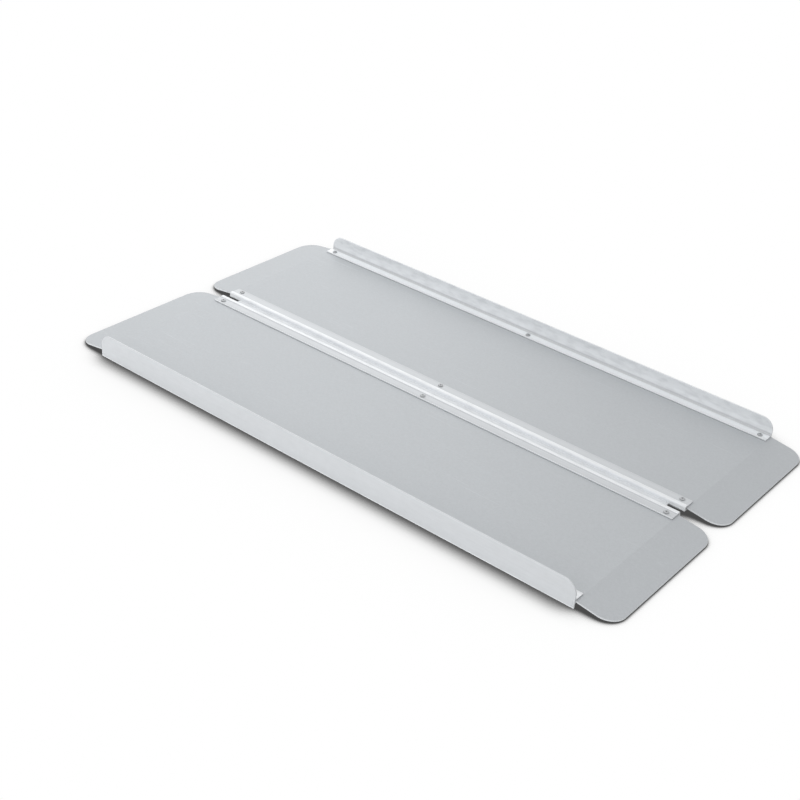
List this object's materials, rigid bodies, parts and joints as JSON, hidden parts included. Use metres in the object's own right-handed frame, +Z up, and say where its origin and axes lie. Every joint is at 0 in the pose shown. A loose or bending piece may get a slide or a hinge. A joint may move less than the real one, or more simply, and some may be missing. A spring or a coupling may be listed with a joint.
{
  "type": "portable wheelchair ramp",
  "caption": "Portable aluminium wheelchair ramp: two flat decks with curb rails and bent rounded end lips, folding lengthwise, underside to underside, on a pinned central hinge.",
  "frame": {"origin": "on the floor under the middle of the hinge, with the ramp flat and unfolded", "axes": "+X along the ramp, from the end that lies on the step to the end that lies on the ground; +Y across it, from the left half to the right half as seen walking up; +Z up"},
  "size_m": [1.3826, 0.76, 0.055],
  "materials": {
    "deck_sheet": "matt light grey",
    "extrusion": "satin mill finish",
    "rivet": "satin",
    "pin_steel": "plated"
  },
  "bodies": {
    "left_half": {"deck_left": "deck_sheet", "curb_rail_left": "extrusion", "hinge_leaf_left": "extrusion", "hinge_pin": "pin_steel", "hinge_pin_retainer": "pin_steel", "rivet_curb_left_1": "rivet", "rivet_curb_left_2": "rivet", "rivet_curb_left_3": "rivet", "rivet_hinge_left_1": "rivet", "rivet_hinge_left_2": "rivet", "rivet_hinge_left_3": "rivet"},
    "right_half": {"deck_right": "deck_sheet", "curb_rail_right": "extrusion", "hinge_leaf_right": "extrusion", "rivet_curb_right_1": "rivet", "rivet_curb_right_2": "rivet", "rivet_curb_right_3": "rivet", "rivet_hinge_right_1": "rivet", "rivet_hinge_right_2": "rivet", "rivet_hinge_right_3": "rivet"}
  },
  "joints": [
    {"name": "fold_hinge", "type": "hinge", "parent": "left_half", "child": "right_half", "pos_m": [0, 0, 0.005], "axis": [-1, 0, 0], "range_deg": [0, 170]}
  ]
}
